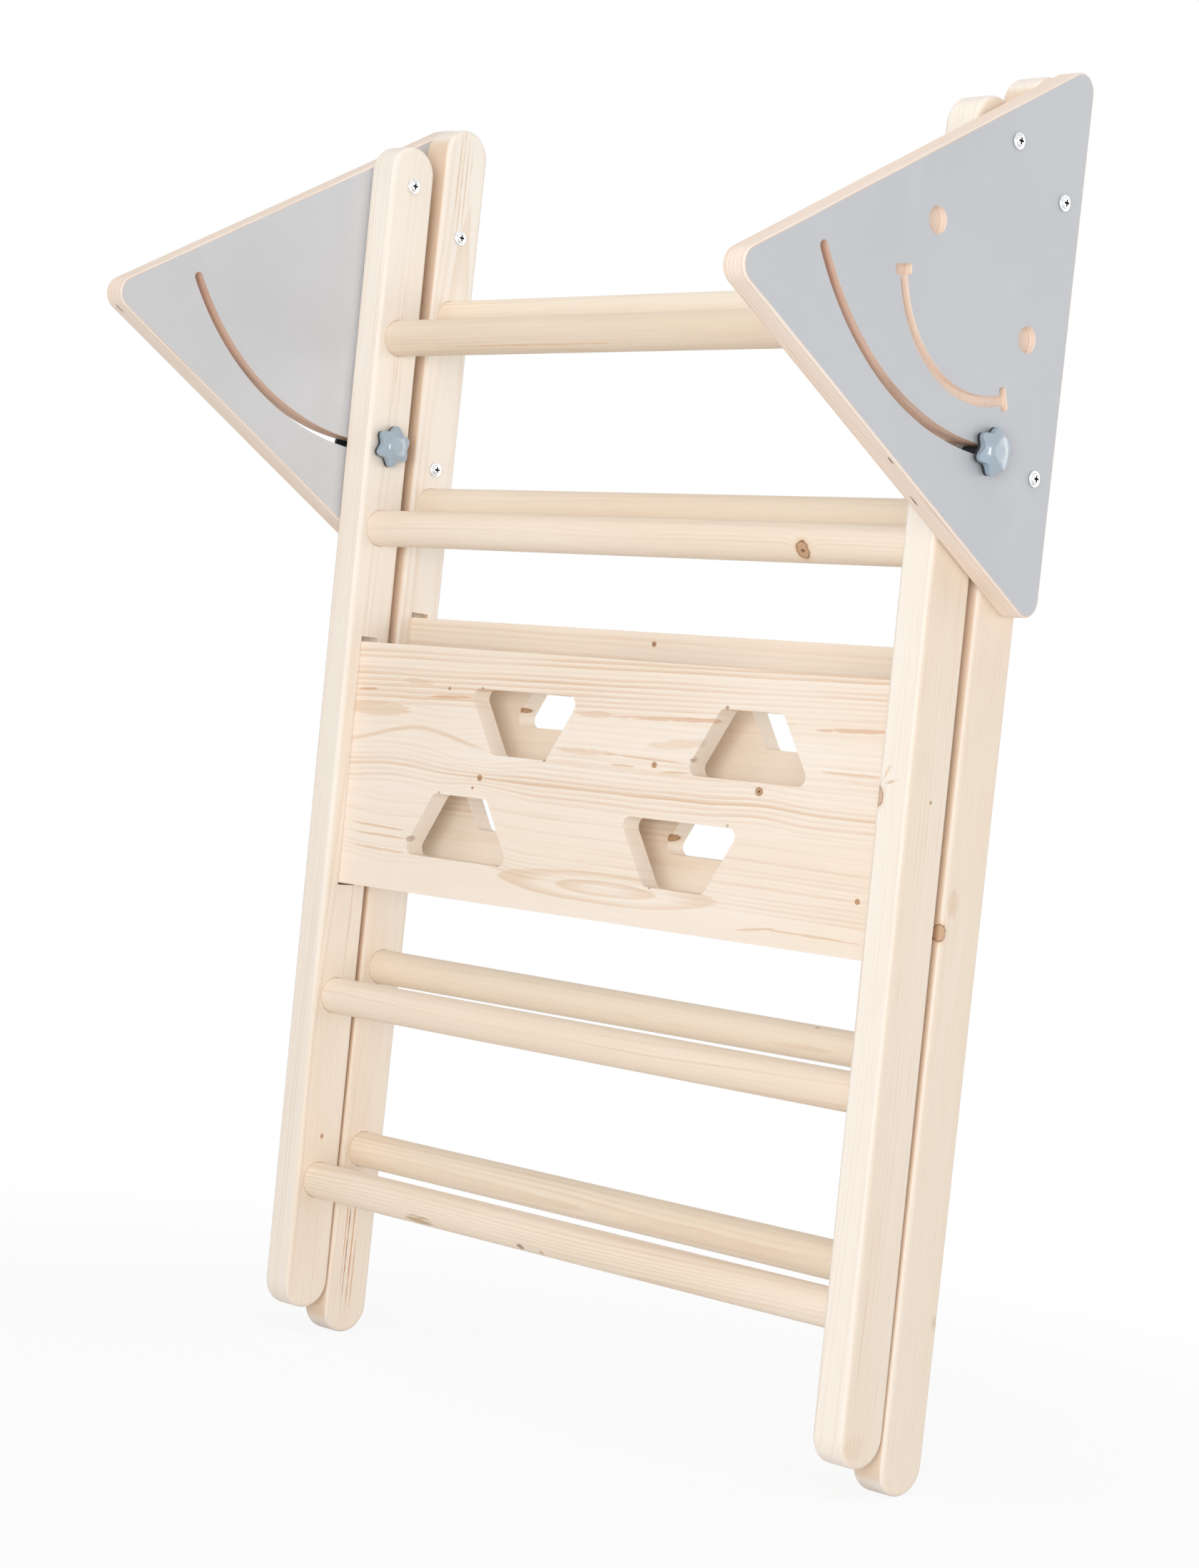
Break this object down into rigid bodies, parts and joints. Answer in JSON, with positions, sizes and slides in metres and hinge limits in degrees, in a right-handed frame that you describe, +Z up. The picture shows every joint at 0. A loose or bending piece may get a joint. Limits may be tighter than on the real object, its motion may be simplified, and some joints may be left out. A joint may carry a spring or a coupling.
{
  "type": "folding climbing triangle",
  "caption": "Folding climbing triangle: rung ladders with hand-hole boards swing between triangular side plates and are clamped by star knobs in curved slots.",
  "frame": {"origin": "on the floor under the folded triangle, in the middle of its overall width and depth", "axes": "+X to the right along the rungs, +Y to the back, from the front ladder to the back ladder, +Z up along the rails"},
  "size_m": [0.8268, 0.4014, 1.2051],
  "materials": {
    "rail_pine": "planed softwood, clear and pale",
    "rung_pine": "turned softwood, clear and pale",
    "board_pine": "planed softwood panel with visible grain",
    "grey_plywood": "plywood with smooth grey faces and bare birch edges",
    "zinc_steel": "bright zinc-plated steel",
    "washer_nylon": "plain nylon",
    "black_plastic": "black plastic",
    "knob_plastic": "glossy grey-blue plastic"
  },
  "bodies": {
    "back_frame": {"back_rail_left": "rail_pine", "back_rail_right": "rail_pine", "back_rung_1": "rung_pine", "back_rung_2": "rung_pine", "back_rung_3": "rung_pine", "back_rung_4": "rung_pine", "back_board": "board_pine", "side_plate_left": "grey_plywood", "side_plate_right": "grey_plywood", "pivot_bolt_left": "zinc_steel", "pivot_bolt_right": "zinc_steel", "pivot_nut_left": "zinc_steel", "pivot_nut_right": "zinc_steel", "upper_fixing_bolt_left": "zinc_steel", "upper_fixing_bolt_right": "zinc_steel", "upper_fixing_nut_left": "zinc_steel", "upper_fixing_nut_right": "zinc_steel", "lower_fixing_bolt_left": "zinc_steel", "lower_fixing_bolt_right": "zinc_steel", "lower_fixing_nut_left": "zinc_steel", "lower_fixing_nut_right": "zinc_steel", "pivot_washer_left": "washer_nylon", "pivot_washer_right": "washer_nylon"},
    "front_ladder": {"front_rail_left": "rail_pine", "front_rail_right": "rail_pine", "front_rung_1": "rung_pine", "front_rung_2": "rung_pine", "front_rung_3": "rung_pine", "front_rung_4": "rung_pine", "front_board": "board_pine", "lock_bolt_left": "black_plastic", "lock_bolt_right": "black_plastic", "lock_washer_left": "washer_nylon", "lock_washer_right": "washer_nylon"},
    "knob_seat_left": {"knob_base_left": "black_plastic"},
    "knob_seat_right": {"knob_base_right": "black_plastic"},
    "knob_left": {"star_knob_left": "knob_plastic"},
    "knob_right": {"star_knob_right": "knob_plastic"}
  },
  "joints": [
    {"name": "ladder_fold", "type": "hinge", "parent": "back_frame", "child": "front_ladder", "pos_m": [-0.0045, 0.1065, 1.1321], "axis": [-1, 0, 0], "range_deg": [0, 60.6]},
    {"name": "knob_travel_left", "type": "slide", "parent": "front_ladder", "child": "knob_seat_left", "axis": [1, 0, 0], "range_m": [0, 0.0025]},
    {"name": "knob_turn_left", "type": "hinge", "parent": "knob_seat_left", "child": "knob_left", "pos_m": [-0.3479, 0.10956, 0.87772], "axis": [1, 0, 0], "range_deg": [0, 720]},
    {"name": "knob_travel_right", "type": "slide", "parent": "front_ladder", "child": "knob_seat_right", "axis": [1, 0, 0], "range_m": [0, 0.0025]},
    {"name": "knob_turn_right", "type": "hinge", "parent": "knob_seat_right", "child": "knob_right", "pos_m": [0.4017, 0.10956, 0.87772], "axis": [1, 0, 0], "range_deg": [0, 720]}
  ],
  "couplings": [
    {"joint": "knob_turn_left", "follows": "knob_travel_left", "rad_per_m": 5026.5},
    {"joint": "knob_turn_right", "follows": "knob_travel_right", "rad_per_m": 5026.5}
  ]
}
